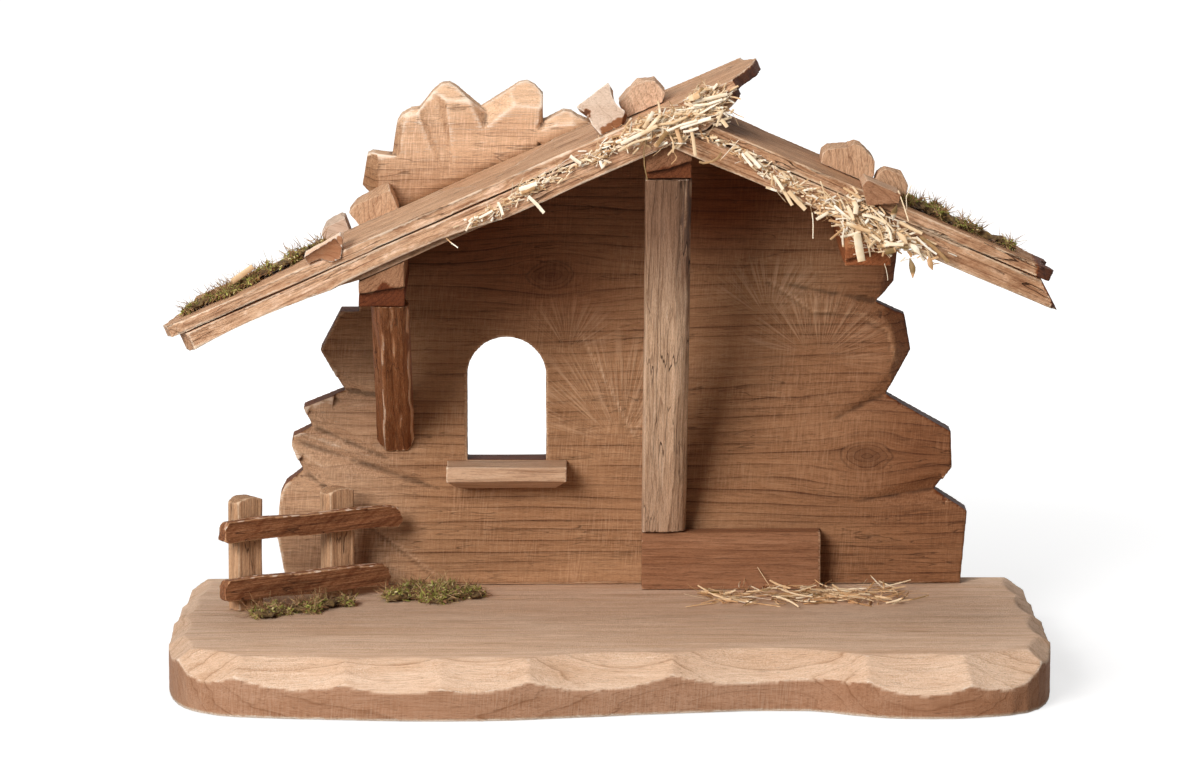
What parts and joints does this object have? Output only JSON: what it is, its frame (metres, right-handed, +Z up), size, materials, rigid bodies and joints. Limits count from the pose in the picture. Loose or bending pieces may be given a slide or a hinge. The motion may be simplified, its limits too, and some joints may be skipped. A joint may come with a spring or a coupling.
{
  "type": "wooden nativity stable",
  "caption": "Carved wooden nativity stable with a wavy base board, a lobed back wall with an arched window, knee braces, a plank roof, moss and straw.",
  "frame": {"origin": "middle of the base board's underside", "axes": "+Z up, +X along the width to the right as seen from the open front, +Y to the back wall"},
  "size_m": [0.307, 0.1465, 0.2164],
  "materials": {
    "stained_wood": "matt walnut stain, worn pale at the carved edges",
    "dark_wood": "matt dark walnut stain",
    "pale_wood": "weathered, thinly stained",
    "steel": "zinc plated",
    "moss": "dried moss, matt",
    "straw": "wood shavings and straw, matt"
  },
  "bodies": {
    "root": {"base_board": "stained_wood", "back_wall": "stained_wood", "window_sill": "pale_wood", "sill_beam": "dark_wood", "ridge_beam": "dark_wood", "left_purlin": "dark_wood", "right_purlin": "dark_wood", "centre_brace": "pale_wood", "left_brace": "dark_wood", "roof_left_lower": "stained_wood", "roof_left_upper": "stained_wood", "roof_right_lower": "stained_wood", "roof_right_upper": "stained_wood", "left_block": "stained_wood", "left_slab": "stained_wood", "left_rear_slab": "pale_wood", "ridge_block": "stained_wood", "ridge_slab": "pale_wood", "right_block": "stained_wood", "right_rear_block": "stained_wood", "right_slab": "stained_wood", "fence_post_left": "stained_wood", "fence_post_right": "stained_wood", "fence_rail_upper": "dark_wood", "fence_rail_lower": "dark_wood", "wall_screws": "steel", "beam_dowels": "pale_wood", "moss_left_roof": "moss", "moss_right_roof": "moss", "moss_fence": "moss", "moss_wall_foot": "moss", "straw_left_roof": "straw", "straw_ridge": "straw", "straw_right_roof": "straw", "straw_ground": "straw"}
  },
  "joints": []
}
